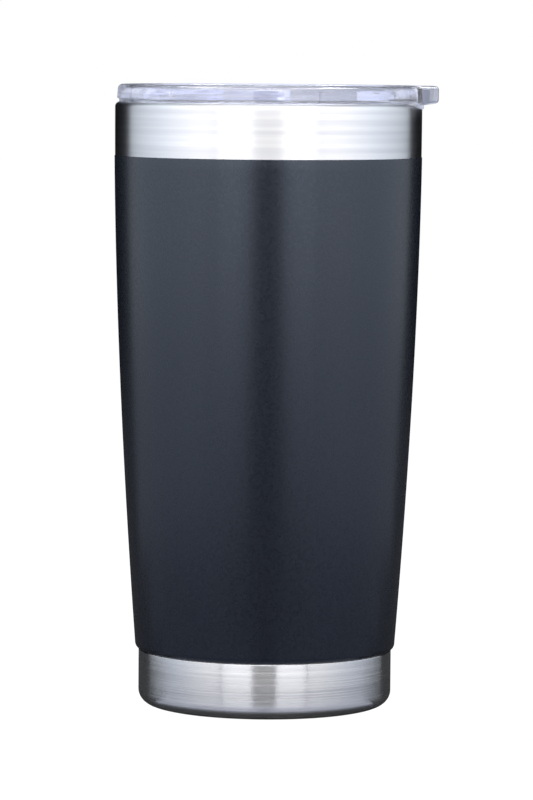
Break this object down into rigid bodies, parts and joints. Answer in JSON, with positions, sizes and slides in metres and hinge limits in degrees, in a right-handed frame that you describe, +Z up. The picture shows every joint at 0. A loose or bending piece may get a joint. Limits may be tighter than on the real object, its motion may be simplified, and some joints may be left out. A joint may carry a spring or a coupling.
{
  "type": "insulated tumbler with lid",
  "caption": "Tapered double-wall vacuum tumbler in stainless steel with a black coat, and a clear press-on lid whose drinking slot opens with a slider.",
  "frame": {"origin": "on the cup's axis, in the plane it stands on", "axes": "+Z up along the cup's axis, +X from the axis to the lid's thumb tab (the drinking slot is on the -X side), +Y to the left of someone who looks along +X"},
  "size_m": [0.0923, 0.088, 0.1781],
  "materials": {
    "brushed_steel": "brushed round the axis",
    "plain_steel": "mill finish",
    "black_coat": "satin powder coat",
    "clear_plastic": "clear, polished, faint lavender tint",
    "silicone": "translucent, satin",
    "solder_glass": "dark, glossy",
    "getter_metal": "sintered, matt"
  },
  "bodies": {
    "tumbler": {"outer_shell": "brushed_steel", "powder_coat": "black_coat", "liner_wall": "brushed_steel", "liner_bottom": "brushed_steel", "vacuum_bottom": "plain_steel", "vacuum_seal": "solder_glass", "getter_holder": "plain_steel", "getter_pill": "getter_metal", "base_cover": "brushed_steel"},
    "lid": {"lid_body": "clear_plastic", "lid_gasket": "silicone"},
    "slider": {"slider_plate": "clear_plastic", "slider_seal": "silicone"}
  },
  "joints": [
    {"name": "lid_lift", "type": "slide", "parent": "tumbler", "child": "lid", "axis": [0, 0, 1], "range_m": [0, 0.05]},
    {"name": "slider_slide", "type": "slide", "parent": "lid", "child": "slider", "axis": [1, 0, 0], "range_m": [0, 0.015]}
  ]
}
